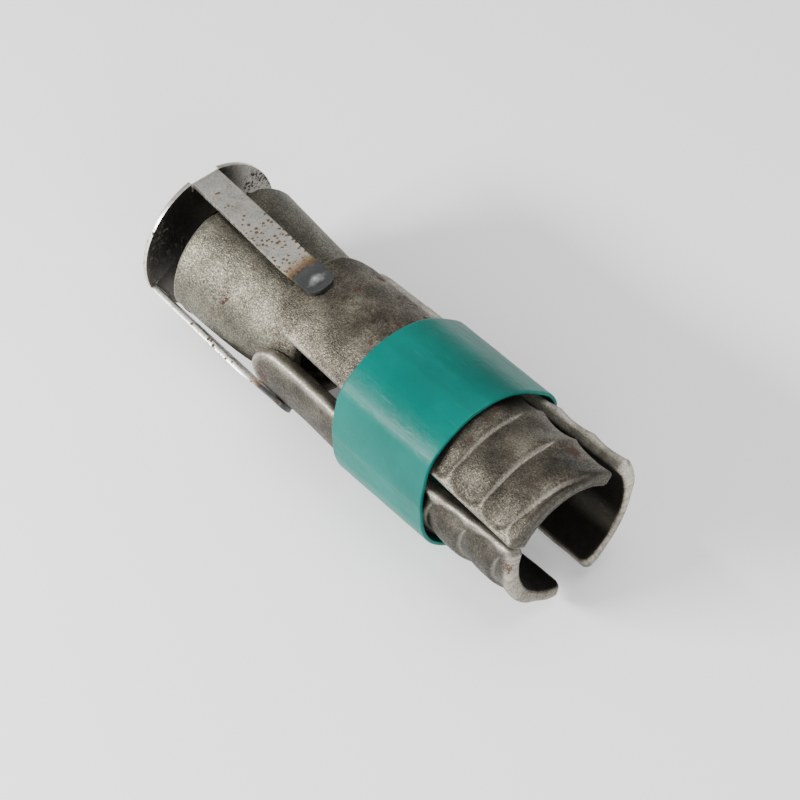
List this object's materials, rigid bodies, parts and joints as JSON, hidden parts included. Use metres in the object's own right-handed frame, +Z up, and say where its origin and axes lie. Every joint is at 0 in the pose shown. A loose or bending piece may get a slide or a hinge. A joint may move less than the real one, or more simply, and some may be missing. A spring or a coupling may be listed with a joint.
{
  "type": "expansion shell rock bolt",
  "caption": "Steel expansion shell for a rock bolt: ribbed leaves and a threaded cone on a folded sheet bail, held closed by a plastic band.",
  "frame": {"origin": "centre of the outer face of the bail's disc, the end that goes first into the hole", "axes": "+X along the bolt axis from the disc to the open end that the bolt enters; +Z up as the shell lies on its side"},
  "size_m": [0.1133, 0.0363, 0.0362],
  "materials": {
    "leaf_steel": "hot-formed, shot-blasted, light rust",
    "cone_steel": "raw, shot-blasted, light rust",
    "bail_sheet": "bare sheet with rust specks and heat tint at the welds",
    "band_plastic": "semi-gloss teal"
  },
  "bodies": {
    "shell": {"leaf_top": "leaf_steel", "leaf_left": "leaf_steel", "leaf_right": "leaf_steel", "bail": "bail_sheet", "retaining_band": "band_plastic"},
    "cone": {"cone": "cone_steel"}
  },
  "joints": [
    {"name": "cone_slide", "type": "slide", "parent": "shell", "child": "cone", "axis": [-1, 0, 0], "range_m": [0, 0.008]}
  ]
}
